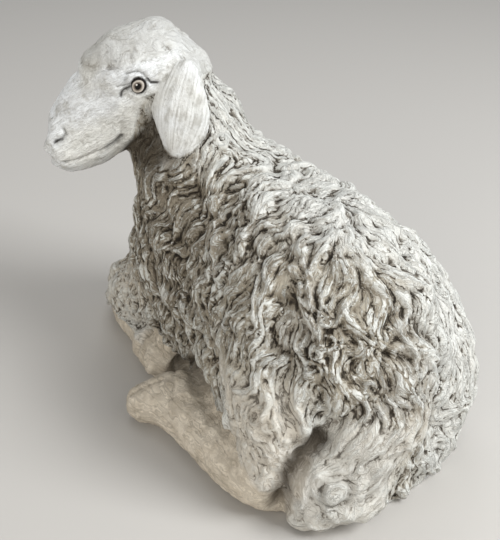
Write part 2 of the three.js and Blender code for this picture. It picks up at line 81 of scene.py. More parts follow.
# Limbs: places along the middle line, each with a radius.
NECK = [(10, -50, 95, 50), (14, -59, 127, 45), (20, -67, 162, 35), (25, -72, 190, 30), (29, -76, 206, 25)]
HIND_LEFT = [(60, 108, 19, 20), (69, 90, 15, 17), (72, 42, 16, 20), (75, 10, 17, 21), (88, 0, 13, 15),
             (93, -3, 12, 13)]
HIND_RIGHT = [(-56, 92, 16, 16.5), (-64, 60, 14, 13), (-66, 24, 14, 14), (-62, 2, 12, 12)]
FORE_LEFT = [(51, -130, 14, 15.5), (61, -96, 11, 12.5), (63, -62, 13, 14), (61, -42, 17, 18),
             (60, -34, 18, 18)]
FORE_RIGHT = [(-6, -134, 14, 15.5), (-22, -100, 13, 12.5), (-40, -62, 13, 13)]
FOREARM_LEFT = [(34, -50, 84, 30), (42, -72, 52, 28), (48, -102, 36, 24), (50, -126, 22, 19)]
FOREARM_RIGHT = [(-20, -56, 78, 28), (-22, -84, 44, 26), (-8, -128, 20, 18)]
SHANK_WOOL = [(36, 66, 100, 30), (46, 92, 62, 28), (52, 110, 28, 25)]
TAIL = [(-12, 128, 92, 21), (4, 134, 62, 26), (26, 132, 36, 25), (42, 128, 18, 22)]
TAIL_KNOB = (46, 153, 37)
BELLY_RECESS = [(54, -22, 22), (56, 0, 32), (60, 22, 40), (60, 42, 42), (60, 58, 44)]
HOOF_CLEFT = [(60, -24, 4), (60, -24, 14), (60, -26, 30)]
HOOF_SIDE = [(44, -26, 6), (45, -28, 30)]
HOOF_TOP = [(75, -40, 39), (60, -32, 36), (48, -30, 32)]
TAIL_GAP = [(70, 128, 8), (70, 128, 19), (65, 131, 39), (55, 130, 52), (43, 131, 60)]


def on_head(along, side, up):
    return HEAD_ORIGIN + np.array([along, side, up], float) @ HEAD_AXES


def in_head(points):
    return (points - HEAD_ORIGIN) @ HEAD_AXES.T


def smooth_step(value, low, high):
    t = np.clip((value - low) / (high - low), 0, 1)
    return t * t * (3 - 2 * t)


def bell(away, width):
    """1 where nothing is away, falling off smoothly over the width."""
    return np.exp(-(away / width) ** 2)


def near_to(points, place, reach):
    return bell(np.linalg.norm(points - place, axis=1), reach)


def off_limb(points, stations):
    """How far outside a round limb each point lies, below zero inside it."""
    stations = np.array(stations, float)
    nearest = np.full(len(points), np.inf)
    for start, end in zip(stations[:-1], stations[1:]):
        span = end[:3] - start[:3]
        t = np.clip((points - start[:3]) @ span / (span @ span), 0, 1)
        gap = np.linalg.norm(points - start[:3] - t[:, None] * span, axis=1)
        nearest = np.minimum(nearest, gap - start[3] - t * (end[3] - start[3]))
    return nearest


def off_ellipsoid(local, radii):
    """About how far outside an ellipsoid each point lies, below zero inside it."""
    radii = np.array(radii, float)
    near = np.linalg.norm(local / radii, axis=1)
    slope = np.linalg.norm(local / radii ** 2, axis=1)
    return near * (near - 1) / np.maximum(slope, 1e-6)


def off_skull(local):
    """About how far outside the skull each point of the head's frame lies, below zero inside it."""
    along = np.clip(local[:, 0], SKULL[0, 0], SKULL[-1, 0])
    top, under, half = (np.interp(along, SKULL[:, 0], SKULL[:, n]) for n in (1, 2, 3))
    rise = (top - under) / 2
    off = np.hypot((local[:, 2] - (top + under) / 2) / rise, local[:, 1] / half)
    across = (off - 1) * np.minimum(rise, half)
    return np.hypot(np.maximum(across, 0), local[:, 0] - along) + np.minimum(across, 0)


def ear_frame(sign):
    """An ear's middle, and its axes: through it, across it and along it to the tip."""
    middle = on_head(-2 if sign > 0 else 4, 31 * sign, -19 if sign > 0 else -24)
    turn = (Matrix.Rotation(math.radians(60), 3, "Z") @ Matrix.Rotation(math.radians(-7 * sign), 3, "Y")
            @ Matrix.Rotation(math.radians(-12), 3, "X"))
    return middle, np.array(turn).T


EAR_RADII = (6.5, 16.5, 31)


def in_ear(points, sign):
    middle, axes = ear_frame(sign)
    return (points - middle) @ axes.T


class Skin:
    """The casting's surface as arrays, in millimetres of the drawn figure."""

    def __init__(self, mesh):
        self.mesh = mesh
        count = len(mesh.vertices)
        places = np.zeros(count * 3, np.float32)
        mesh.vertices.foreach_get("co", places)
        self.points = places.reshape(-1, 3).astype(float) / MM + FIGURE_MIDDLE
        ends = np.zeros(len(mesh.edges) * 2, np.int32)
        mesh.edges.foreach_get("vertices", ends)
        self.edges = ends.reshape(-1, 2)
        self.linked = np.bincount(ends, minlength=count)
        self.refresh()

    def refresh(self):
        """Writes the points to the mesh and reads its new normals."""
        places = ((self.points - FIGURE_MIDDLE) * MM).astype(np.float32)
        self.mesh.vertices.foreach_set("co", places.ravel())
        self.mesh.update()
        normals = np.zeros(len(self.points) * 3, np.float32)
        self.mesh.vertex_normals.foreach_get("vector", normals)
        self.normals = normals.reshape(-1, 3).astype(float)

    def around(self, values):
        """The mean of the neighbours' values, at each vertex."""
        count = len(self.linked)
        one, other = self.edges[:, 0], self.edges[:, 1]
        columns = values.reshape(count, -1)
        mean = np.empty_like(columns)
        for n in range(columns.shape[1]):
            total = np.bincount(one, columns[other, n], count) + np.bincount(other, columns[one, n], count)
            mean[:, n] = total / self.linked
        return mean.reshape(values.shape)

    def relaxed(self, values, rounds, share=0.5):
        for _ in range(rounds):
            values = values + share * (self.around(values) - values)
        return values


def placed(name, data):
    """A new object in the scene."""
    made = bpy.data.objects.new(name, data)
    bpy.context.scene.collection.objects.link(made)
    return made


def fine_copy(node):
    """A copy of the casting as one even mesh of small squares."""
    loose = bmesh.new()
    loose.from_mesh(node.data)
    bmesh.ops.remove_doubles(loose, verts=loose.verts, dist=1e-7)
    merged = bpy.data.meshes.new("merged_casting")
    loose.to_mesh(merged)
    loose.free()
    sheep = placed("merged_casting", merged)
    remesh = sheep.modifiers.new("even squares", "REMESH")
    remesh.mode = "VOXEL"
    remesh.voxel_size = FINE_GRID * MM
    applied = applied_mesh(sheep)
    bpy.data.objects.remove(sheep)
    refine(applied)
    return applied


def refine(mesh):
    """Halves the squares around the eyes, the nostrils and the mouth."""
    fine = bmesh.new()
    fine.from_mesh(mesh)
    fine.verts.ensure_lookup_table()
    places = np.array([v.co for v in fine.verts]) / MM + FIGURE_MIDDLE
    head = in_head(places)
    head[:, 1] = np.abs(head[:, 1])
    plane = (head[:, [0, 2]] - (EYE[0], EYE[2])) @ EYE_PLANE.T
    head_side = (head[:, 1] > 14) & (places[:, 2] > 150)
    near = (np.hypot(plane[:, 0] - 1, plane[:, 1]) < EYE_REACH) & head_side
    near |= away_from(head, NOSTRIL) < NOSTRIL_REACH
    near |= away_from(head, MOUTH) < MOUTH_REACH
    edges = [edge for edge in fine.edges if near[edge.verts[0].index] and near[edge.verts[1].index]]
    bmesh.ops.subdivide_edges(fine, edges=edges, cuts=1, use_grid_fill=True)
    bmesh.ops.triangulate(fine, faces=[face for face in fine.faces if len(face.verts) > 4])
    fine.to_mesh(mesh)
    fine.free()


def applied_mesh(holder):
    depsgraph = bpy.context.evaluated_depsgraph_get()
    return bpy.data.meshes.new_from_object(holder.evaluated_get(depsgraph))


class Regions:
    """How far each vertex belongs to the parts of the figure that are finished differently."""

    def __init__(self, points):
        head = in_head(points)
        self.head = head
        along, up = head[:, 0], head[:, 2]
        x, y, z = points.T
        neck = off_limb(points, NECK)
        skull = off_skull(head)
        high = smooth_step(z, 120, 135)
        crown = 9 * smooth_step(z, 200, 215)
        near_skull = smooth_step(neck - skull + crown, 0, 6) * high
        brow = (smooth_step(up - 10 - 0.28 * (along + 14), -3, 7)
                * (1 - smooth_step(along, 40, 54)))
        brow = np.maximum(brow, smooth_step(-along, 12, 20))
        self.cap = near_skull * brow
        self.face = near_skull * (1 - brow)
        self.ears = {}
        for sign in (1, -1):
            off = off_ellipsoid(in_ear(points, sign), EAR_RADII)
            self.ears[sign] = 1 - smooth_step(off, 1.2, 3.2)
        self.ear = np.maximum(self.ears[1], self.ears[-1])
        foreleg = off_limb(points, FORE_LEFT)
        foreleg += 5 * smooth_step(z, 14, 23) * smooth_step(-y, 46, 54)
        shanks = np.minimum.reduce([off_limb(points, HIND_LEFT), off_limb(points, HIND_RIGHT), foreleg,
                                    off_limb(points, FORE_RIGHT)])
        self.shank = 1 - smooth_step(shanks, 1.0, 4.5)
        self.floor = 1 - smooth_step(z, 0.5, 6)
        bare = np.maximum.reduce([self.face, self.ear, self.shank])
        self.wool = (1 - bare) * (1 - self.floor)
        self.tail = (1 - smooth_step(off_limb(points, TAIL), 3, 7)) * smooth_step(y, 112, 126)
        self.tail *= 1 - smooth_step(z, 64, 84)
        self.neck = (1 - smooth_step(neck, 3, 9)) * smooth_step(z, 122, 150)
        forearm = np.minimum(off_limb(points, FOREARM_LEFT), off_limb(points, FOREARM_RIGHT))
        self.forearm = (1 - smooth_step(forearm, 2, 7)) * (1 - smooth_step(z, 66, 86))
        column = off_limb(points, SHANK_WOOL)
        self.column = (1 - smooth_step(column, 3, 9)) * (1 - smooth_step(z, 70, 100))
        rump = smooth_step(-x, 5, 45) * smooth_step(y, 60, 110)
        self.flat_wool = np.clip(rump, 0, 1)
        self.carved = self.wool * (1 - 0.85 * self.cap) * (1 - 0.55 * self.column) * (1 - 0.4 * self.tail)
        self.carved *= 1 - 0.2 * self.forearm
        self.hairy = np.clip(0.8 * self.ear + 0.2 * self.cap + 0.45 * self.shank + 0.12 * self.face, 0, 1)


def lay_of(skin, regions):
    """The way the hair lies at each vertex: outwards and down, back over the rump, along the bare parts."""
    points, normals = skin.points, skin.normals
    outwards = np.clip((points[:, 0] + 4) / 30, -1, 1)
    rump = smooth_step(points[:, 1], 40, 110)
    throat = smooth_step(points[:, 2], 150, 175)
    spread = 1 - 0.7 * np.maximum(rump, throat)
    back = 0.05 + 0.6 * rump * (1 - throat)
    lay = np.column_stack([outwards * spread, back, outwards * 0 - 1])

    def turn_to(direction, share):
        nonlocal lay
        lay = lay + (np.array(direction) - lay) * share[:, None]

    turn_to((0.85, -0.4, -0.2), regions.cap)
    turn_to(-HEAD_AXES[0], regions.face)
    turn_to((0.59, 0.0, -0.81), regions.tail)
    turn_to((0.1, -1.0, 0.0), regions.shank)
    for sign in (1, -1):
        turn_to(-ear_frame(sign)[1][2], regions.ears[sign])
    off = points - TAIL_KNOB
    ring = np.cross(normals, off)
    near_knob = np.exp(-(off * off).sum(1) / 15.0 ** 2)
    turn_to(ring / np.linalg.norm(ring, axis=1)[:, None], near_knob)
    lay -= normals * (lay * normals).sum(1)[:, None]
    lay /= np.maximum(np.linalg.norm(lay, axis=1), 1e-6)[:, None]

    bend = 3.0 * (2 * lattice(points, 33, 5) - 1)
    wave = 0.55 * np.sin(0.24 * (points[:, 2] + 0.55 * points[:, 1]) + bend)
    wave += 0.7 * (2 * lattice(points, 24, 6) - 1)
    curls = 2.2 * (2 * lattice(points, 7, 7) - 1)
    still = np.maximum.reduce([regions.face, regions.shank, regions.ear, regions.tail * 0.7])
    swing = wave * (1 - 0.85 * still) + curls * np.maximum(regions.cap, 0.5 * regions.column)
    sideways = np.cross(normals, lay)
    return lay * np.cos(swing)[:, None] + sideways * np.sin(swing)[:, None]


def lattice(points, spacing, seed):
    """Smooth random values from 0 to 1 in space, about one spacing apart."""
    table = np.random.default_rng(seed).uniform(0, 1, (LATTICE_SIZE,) * 3)
    cell = np.floor(points / spacing).astype(int)
    t = points / spacing - cell
    t = t * t * (3 - 2 * t)
    value = np.zeros(len(points))
    for corner in np.ndindex(2, 2, 2):
        share = np.prod(np.where(corner, t, 1 - t), axis=1)
        i, j, k = ((cell + corner) % LATTICE_SIZE).T
        value += share * table[i, j, k]
    return value


class Flow:
    """The lay of the hair as a field in space, and random streaks drawn out along it."""

    CELL = 2.5
    MARGIN = 4  # empty cells around the figure
    STEP = 1.5

    def __init__(self, skin, ahead):
        self.points = skin.points
        self.low = skin.points.min(0) - self.MARGIN * self.CELL
        shape = (np.ptp(skin.points, axis=0) / self.CELL).astype(int) + 2 * self.MARGIN + 1
        self.last = shape - 1
        self.field = np.zeros(tuple(shape) + (3,))
        np.add.at(self.field, self.cells(skin.points), ahead)
        for axis in range(3):
            self.field = self.field + 0.5 * (np.roll(self.field, 1, axis) + np.roll(self.field, -1, axis))
        self.field /= np.maximum(np.linalg.norm(self.field, axis=3), 1e-6)[..., None]

    def cells(self, at):
        return tuple(np.clip(((at - self.low) / self.CELL).astype(int), 0, self.last).T)

    def streaks(self, spacing, reach, seed):
        """A random value at each vertex, alike along the lay: the mean 0, and the spread 1."""
        total = lattice(self.points, spacing, seed)
        for way in (1, -1):
            at = self.points.copy()
            for _ in range(int(reach / self.STEP)):
                at += way * self.STEP * self.field[self.cells(at)]
                total += lattice(at, spacing, seed)
        return (total - total.mean()) / total.std()


# Curls that stand out: a place, how far the lock turns from the lay, and how fast it curls.
CURLS = [((46, 118, 100), 1.2, 0.26), ((18, 118, 140), -0.2, -0.2), ((60, 60, 118), 0.5, -0.24),
         ((64, -7, 92), 0.6, 0.26), ((34, 112, 124), -0.4, 0.2), ((56, 22, 122), 0.3, 0.2),
         ((66, -86, 50), 0.4, 0.3), ((67, -62, 52), -0.4, -0.28), ((62, -106, 50), 0.5, 0.3),
         ((68, -46, 52), 0.2, -0.26), ((70, -74, 34), -0.2, 0.3)]


class Locks:
    """The carved locks: where each one starts, how it winds, and how high it stands."""

    STEP = 1.6
    CLUMP_GAP = 21.0
    CELL = 8.0  # cells that find the vertices near a lock
    ROOM = 14.0  # cells that find the starts near a start
    TRIED = 70000
    LEAST_WOOL = 0.25

    def __init__(self, skin, regions, dice, lay):
        self.skin = skin
        self.regions = regions
        self.dice = dice
        self.lay = lay
        self.ahead = lay.copy()
        self.height = np.zeros(len(skin.points))
        self.second = np.zeros(len(skin.points))
        faces = [tuple(face.vertices) for face in skin.mesh.polygons]
        self.tree = BVHTree.FromPolygons([tuple(p) for p in skin.points], faces)
        self.corner = [face[0] for face in faces]
        self.cells = {}
        keys = np.floor(skin.points / self.CELL).astype(int)
        order = np.lexsort(keys.T)
        breaks = np.nonzero(np.any(np.diff(keys[order], axis=0), axis=1))[0] + 1
        for group in np.split(order, breaks):
            self.cells[tuple(keys[group[0]])] = group

    def near(self, path, reach):
        """The vertices in the cells that a path passes through or beside."""
        low = np.floor((path - reach) / self.CELL).astype(int)
        high = np.floor((path + reach) / self.CELL).astype(int)
        wanted = set()
        for a, b in zip(low, high):
            for i in range(a[0], b[0] + 1):
                for j in range(a[1], b[1] + 1):
                    for k in range(a[2], b[2] + 1):
                        wanted.add((i, j, k))
        groups = [self.cells[key] for key in sorted(wanted) if key in self.cells]
        return np.concatenate(groups) if groups else np.zeros(0, int)

    def starts(self, spacing_at):
        """Vertices spread over the wool, each with clear room around it."""
        taken = {}
        chosen = []
        for v in self.dice.permutation(len(self.skin.points))[:self.TRIED]:
            if self.regions.wool[v] < self.LEAST_WOOL:
                continue
            place = self.skin.points[v]
            gap = spacing_at[v]
            key = tuple(np.floor(place / self.ROOM).astype(int))
            clear = True
            for i in (-1, 0, 1):
                for j in (-1, 0, 1):
                    for k in (-1, 0, 1):
                        for other in taken.get((key[0] + i, key[1] + j, key[2] + k), ()):
                            if abs(other[0] - place[0]) + abs(other[1] - place[1]) < 2 * gap:
                                if np.dot(other - place, other - place) < gap * gap:
                                    clear = False
            if clear:
                taken.setdefault(key, []).append(place)
                chosen.append(v)
        return chosen

    def gather(self):
        """Locks grow in clumps: each clump sweeps and hooks its own way."""
        middles = self.starts(np.full(len(self.skin.points), self.CLUMP_GAP))
        self.clumps = self.skin.points[middles]
        self.sweep = self.dice.uniform(-0.34, 0.34, len(middles))
        self.sense = self.dice.choice([-1.0, 1.0], len(middles))
        self.hook = self.dice.uniform(0, 1, len(middles)) ** 1.5
        self.proud = self.dice.uniform(0.78, 1.2, len(middles))

    def hills(self):
        """1 on the middle of each clump, falling to 0 in the valleys between them."""
        warped = self.skin.points + 2.5 * np.sin(self.skin.points[:, [1, 2, 0]] * 0.23)
        hill = np.zeros(len(warped))
        for part in np.array_split(np.arange(len(warped)), 40):
            away = warped[part, None, :] - self.clumps[None]
            two = np.sqrt(np.partition((away * away).sum(2), 1, axis=1)[:, :2])
            hill[part] = smooth_step(two[:, 1] - two[:, 0], 0, 11)
        return hill

    def clump_of(self, v):
        away = self.clumps - self.skin.points[v]
        return int(np.argmin((away * away).sum(1)))

    def path(self, v, length, swirl, curl, curl_from):
        """A lock's line over the surface, as places and the directions across it."""
        place = Vector(self.skin.points[v])
        normal = Vector(self.skin.normals[v])
        lay = Vector(self.lay[v])
        steps = max(int(length / self.STEP), 5)
        places, sides, normals = [], [], []
        turned = 0.0
        for n in range(steps + 1):
            t = n / steps
            turned += curl * smooth_step(t, curl_from, min(curl_from + 0.25, 1.0)) * self.STEP
            lay -= normal * lay.dot(normal)
            lay.normalize()
            ahead = Matrix.Rotation(swirl + turned, 3, normal) @ lay
            places.append(np.array(place))
            normals.append(np.array(normal))
            sides.append(np.array(normal.cross(ahead)))
            place, normal, face, _ = self.tree.find_nearest(place + ahead * self.STEP)
            lay = Vector(self.lay[self.corner[face]])
        return np.array(places), np.array(sides), np.array(normals)

    def raise_lock(self, v, length, width, rise, swirl, curl, curl_from, strands, lean):
        """Raises one lock where it stands above the others, and keeps the height of the next below."""
        places, sides, normals = self.path(v, length, swirl, curl, curl_from)
        reach = width / 2
        found = self.near(places, reach)
        if not len(found):
            return
        points = self.skin.points[found]
        best = np.full(len(found), np.inf)
        along = np.zeros(len(found))
        across = np.zeros(len(found))
        nearest = np.zeros(len(found), int)
        spans = len(places) - 1
        for n in range(spans):
            span = places[n + 1] - places[n]
            gap = points - places[n]
            t = np.clip(gap @ span / (span @ span), 0, 1)
            gap = gap - t[:, None] * span
            square = (gap * gap).sum(1)
            nearer = square < best
            best[nearer] = square[nearer]
            nearest[nearer] = n
            along[nearer] = (n + t[nearer]) / spans
            across[nearer] = gap[nearer] @ sides[n]
        facing = self.skin.normals[found] @ normals.mean(0)
        keep = (best < reach * reach) & (facing > -0.1)
        found, along, across, nearest = found[keep], along[keep], across[keep], nearest[keep]
        off = np.sqrt(best[keep])
        half = reach * (0.5 + 0.5 * smooth_step(along, 0, 0.4)) * (1 - 0.68 * smooth_step(along, 0.45, 1.0))
        side = np.clip(across / half, -1, 1)
        slope = np.where(side > lean, (side - lean) / (1 - lean), (lean - side) / (1 + lean))
        to_edge = np.maximum(slope, off / half)
        dome = np.clip(1 - slope ** 1.8, 0, 1)
        ridge = 1 - 0.15 * (0.5 - 0.5 * np.cos((side - lean) * math.pi * strands))
        lift = 0.34 + 0.66 * smooth_step(along, 0.0, 0.7)
        rise = rise * lift * dome * ridge
        rise[to_edge >= 1] = 0
        self.second[found] = np.maximum(self.second[found], np.minimum(rise, self.height[found]))
        wins = rise > self.height[found]
        top = found[wins]
        self.height[top] = rise[wins]
        ways = np.diff(places, axis=0)
        ways /= np.linalg.norm(ways, axis=1)[:, None]
        self.ahead[top] = ways[nearest[wins]]


def carve_fleece(skin, regions, dice):
    """Raises the locks over the smoothed figure, cuts the lines between them and combs the hair."""
    size = np.ones(len(skin.points))
    size -= 0.3 * regions.neck
    size -= 0.1 * regions.forearm
    size -= 0.35 * regions.column
    size -= 0.5 * regions.cap
    size += 0.75 * regions.tail
    low = 1 - 0.5 * regions.flat_wool
    low *= 1 - 0.6 * regions.tail
    low *= 1 - 0.92 * regions.cap
    low *= 1 - 0.5 * regions.neck
    low *= 1 - 0.45 * regions.column
    lay = lay_of(skin, regions)
    locks = Locks(skin, regions, dice, lay)
    locks.gather()
    for v in locks.starts(LOCK_GAP * size):
        clump = locks.clump_of(v)
        scale = size[v] * dice.uniform(0.8, 1.25)
        broad = dice.uniform() < BROAD_SHARE
        length = scale * dice.uniform(*LOCK_LENGTH) * (1 + 0.25 * regions.neck[v])
        length *= 1 - 0.4 * regions.forearm[v]
        width = scale * dice.uniform(*(BROAD_WIDTH if broad else SLIM_WIDTH))
        rise = LOCK_RISE * scale ** 0.7 * locks.proud[clump] * dice.uniform(0.8, 1.15) * low[v]
        spiral = dice.uniform() < SPIRAL_SHARE + 0.5 * regions.forearm[v] + 0.2 * regions.column[v]
        hook = 0.3 if spiral else 0.12 * locks.hook[clump] + dice.uniform(-0.03, 0.03)
        curl = locks.sense[clump] * hook / scale
        curl_from = 0.3 if spiral else 0.52
        swirl = locks.sweep[clump] + dice.uniform(-0.12, 0.12)
        strands = 5 if broad else 3
        lean = dice.uniform(-0.4, 0.4)
        locks.raise_lock(v, length, width, rise, swirl, curl, curl_from, strands, lean)
    for place, swirl, curl in CURLS:
        v = int(np.argmin(np.linalg.norm(skin.points - place, axis=1)))
        locks.raise_lock(v, length=34, width=10, rise=6.5, swirl=swirl, curl=curl, curl_from=0.12,
                         strands=2, lean=0.2)
    cover = smooth_step(regions.wool, 0.1, 0.75)
    seam = 1 - smooth_step(locks.height - locks.second, 0.0, 0.7)
    cut = seam * smooth_step(locks.height, 0.2, 1.4)
    height = skin.relaxed(locks.height - 0.9 * cut * low, 2)
    hills = locks.hills() * low * (1 - regions.neck)
    raised = height + 2.2 * hills - 3.4 * low
    beside_ear = np.minimum.reduce([off_ellipsoid(in_ear(skin.points, sign), EAR_RADII) for sign in (1, -1)])
    clear = smooth_step(beside_ear, 3, 11)
    raised = raised * (0.35 + 0.65 * clear) - 2.2 * (1 - clear)
    combed, strand = comb(skin, regions, Flow(skin, locks.ahead))
    return raised * cover + combed, strand


def comb(skin, regions, flow):
    """The strands of hair: how high they stand, and the random values that run along them."""
    fine = flow.streaks(1.9, 7, 11)
    middle = flow.streaks(2.4, 10, 12)
    broad = flow.streaks(7.0, 14, 13)
    small = np.maximum.reduce([regions.cap, regions.column, regions.forearm, regions.face, regions.shank,
                               regions.ear])
    run = middle + (fine - middle) * small
    for sign in (1, -1):
        run += (1.1 * ear_ridges(skin, sign)[0] - run) * regions.ears[sign]
    strands = 1 - bell(run, 0.55) - 0.55
    bare = np.maximum(regions.face, regions.shank)
    depth = 0.8 * regions.wool * (1 - 0.5 * regions.cap) * (1 - 0.2 * regions.column)
    depth *= (1 - 0.75 * regions.tail) * (1 - 0.3 * regions.flat_wool)
    depth += 0.1 * bare + 0.2 * regions.shank
    swell = 0.45 * regions.wool * (1 - regions.cap) * (1 - regions.tail)
    plates = 1 - np.abs(2 * lattice(skin.points, 13, 14) - 1) ** 0.8
    plates += 0.5 * lattice(skin.points, 7, 15)
    tail = 2.2 * regions.tail * (plates - 0.9)
    return depth * strands + swell * broad + tail, np.column_stack([fine, run, broad])


def away_from(points, line):
    """The distance of each point to a line of short straight spans, in as many directions as it has."""
    line = np.array(line, float)
    nearest = np.full(len(points), np.inf)
    for a, b in zip(line[:-1], line[1:]):
        span = b - a
        t = np.clip((points - a) @ span / (span @ span), 0, 1)
        nearest = np.minimum(nearest, np.linalg.norm(points - a - t[:, None] * span, axis=1))
    return nearest


# Lines on the head, each side alike: along, side, up.
NOSTRIL = [(94, 15.5, -5.2), (88, 17.8, -4.0), (82, 18.6, -4.6), (77.6, 18.6, -3.2), (76.8, 17.8, -0.6)]
MOUTH = [(100, 4, -15), (97.5, 13, -13.2), (91, 17.6, -18.2), (80, 18.6, -21), (70, 18.8, -22.3),
         (60, 19, -23.5), (51.6, 19.6, -22.6), (46, 20.6, -20.4)]
JAW = [(11.4, 31, -8), (20.7, 29.8, -12.5), (29.5, 26.6, -18.5), (38.7, 22.8, -23.4), (46, 20.6, -25)]
THROAT = [(4, 30, -14), (14, 28, -20), (24, 25, -26), (34, 21, -31)]

# Lines around the eye, in a plane over the side of the head: towards the ear, and up.
EYE = (15.4, 27.6, 5.2)
EYE_PLANE = np.array([[-0.80, -0.52], [-0.364, 0.852]])
LID_CREASE = [(-6.7, 8.0), (-0.8, 8.8), (2.8, 7.0), (5.4, 3.4), (7.2, 1.5), (13.0, 1.2), (16.4, 3.6),
              (22.0, 8.4)]
UPPER_LID = [(-5.6, 3.2), (-3.6, 6.0), (0.0, 7.0), (3.4, 5.4), (5.6, 2.2)]
LOWER_LID = [(-5.6, -2.2), (-3.4, -5.6), (0.4, -6.8), (4.0, -5.2), (6.2, -1.6)]
TEAR_LINE = [(-5.0, -0.7), (-8.0, -1.9), (-10.1, -3.3), (-10.8, -5.9)]
TEAR_FOLD = [(-6.0, 1.2), (-9.0, 0.6), (-12.6, 0.4)]
BROW = [(-9.0, 12.0), (-1.0, 12.6), (6.0, 9.6), (11.0, 5.6)]


# Short cracks and chips on the left of the crown and the muzzle: along, side, up.
CRACKS = [[(-8.5, 8.5, 31), (-11, 12, 28.5)], [(-3, 16, 29), (-4.5, 18.5, 27)],
          [(-14, 19, 15), (-13, 21.5, 12.5)], [(83, 9, 6.0), (82, 9.5, 5.5)],
          [(66, 17, 6), (64.5, 18, 4)]]


def carve_face(skin, regions):
    """The lines and folds of the face: how far each vertex moves, where dark lines and painted shadows lie,
    and the painted shadow under the jaw.
    """
    head = regions.head.copy()
    head[:, 1] = np.abs(head[:, 1])
    plane = (head[:, [0, 2]] - (EYE[0], EYE[2])) @ EYE_PLANE.T
    depth = np.zeros(len(head))
    # dark lines, with painted shadows in the creases by the eye and the mouth
    paint = np.zeros(len(head))
    on_side = smooth_step(head[:, 1], 15, 20) * np.maximum(regions.face, regions.cap)
    soft_side = smooth_step(head[:, 1], 15, 20) * smooth_step(head[:, 0], -30, -16)

    def stroke(places, line, width, rise, dark=0.0):
        nonlocal depth, paint
        mark = bell(away_from(places, line), width)
        depth = depth + rise * mark * (on_side if places is plane else 1)
        paint = np.maximum(paint, dark * mark * (soft_side if places is plane else 1))

    stroke(plane, BROW, 3.6, 1.3)
    stroke(plane, UPPER_LID, 1.7, 1.3)
    stroke(plane, LOWER_LID, 1.5, 0.7)
    stroke(plane, LID_CREASE[:4], 1.0, -1.7, 0.5)
    stroke(plane, LID_CREASE[3:], 1.1, -1.8, 0.8)
    stroke(plane, TEAR_LINE, 1.0, -1.4, 0.75)
    stroke(plane, TEAR_FOLD, 0.8, -0.7, 0.45)
    # painted shadow between the lid crease and the eye's inner corner
    stroke(plane, [(-8.0, 4.0), (-6.0, 7.6)], 2.6, -0.9, 0.42)
    stroke(head, [(a - 1, s, u + 5) for a, s, u in NOSTRIL], 3.2, 1.4)
    stroke(head, [(a + 3, s, u - 4) for a, s, u in NOSTRIL], 2.6, 0.6)
    stroke(head, NOSTRIL, 1.2, -2.8, 0.8)
    stroke(head, [(a + 1, s, u + 4) for a, s, u in MOUTH], 3.0, 1.1)
    stroke(head, [(a - 2, s, u - 4.5) for a, s, u in MOUTH[1:7]], 3.0, 0.9)
    stroke(head, MOUTH, 1.1, -2.4, 0.5)
    # painted shadow: a soft dark smudge in the corner of the mouth
    stroke(head, MOUTH[-3:], 3.6, -0.6, 0.56)
    # painted shadow: a soft dark smudge along the tear line
    stroke(plane, TEAR_LINE, 3.0, -0.4, 0.45)
    stroke(head, [(20, 0, 34), (26, 14, 30)], 14.0, 3.4)
    stroke(head, [(-18, 0, 16), (-16, 10, 12)], 13.0, 1.2)
    stroke(head, [(40, 0, 28), (42, 9, 26)], 6.0, 1.4)
    stroke(head, [(52, 0, 23), (52, 10, 19)], 4.5, -1.2)
    stroke(head, JAW, 3.4, 1.2)
    stroke(head, THROAT, 5.0, -2.6)
    for mark in CRACKS:
        near = bell(away_from(regions.head, mark), 0.8)
        depth = depth - 0.7 * near
        paint = np.maximum(paint, 0.75 * near)
    radius = np.hypot(plane[:, 0], plane[:, 1])
    ring = bell(radius - 5.2, 0.9)
    ball = np.sqrt(np.clip(1 - (radius / 4.9) ** 2, 0, 1))
    depth += (1.5 * ball - 1.3 * ring) * on_side
    # painted shadow under the jaw and on the throat, behind the cheek
    behind = -(head[:, 2] + 9 + 0.5 * (head[:, 0] - 11))
    shade = smooth_step(behind, -1, 5) * (1 - smooth_step(behind, 18, 42))
    shade *= (smooth_step(skin.points[:, 2], 135, 160) * (1 - smooth_step(head[:, 0], 44, 56))
              * (1 - regions.ear))
    shade *= smooth_step(regions.head[:, 1], -40, -10) * 0.5 + 0.5
    shade *= smooth_step(head[:, 0], -20, -8)
    inside = np.column_stack([plane, head[:, 1]])
    return depth * (1 - regions.ear), paint * (1 - regions.ear), shade, inside


def ear_ridges(skin, sign):
    """Ridges that run along an ear, from -1 to 1, and how near each vertex is to the ear's edge."""
    local = in_ear(skin.points, sign)
    across = local[:, 1] / EAR_RADII[1]
    down = local[:, 2] / EAR_RADII[2]
    fan = across / np.sqrt(np.clip(1.15 - down ** 2, 0.2, 1.2))
    waver = 0.5 * np.sin(local[:, 2] * 0.11 + 2) + 1.2 * lattice(skin.points, 9, 31)
    ridges = 0.62 * np.cos(fan * 19 + waver) + 0.38 * np.cos(fan * 31 + 1.3 + 2 * waver)
    return ridges, smooth_step(np.hypot(across, down), 0.86, 1.0)


def carve_ears(skin, regions):
    """Ridges of hair that run along each ear, fading out at its edge, and each ear a little thicker."""
    depth = np.zeros(len(skin.points))
    for sign in (1, -1):
        ridges, edge = ear_ridges(skin, sign)
        depth += regions.ears[sign] * (0.32 * ridges * (1 - edge) + 0.5)
    return depth


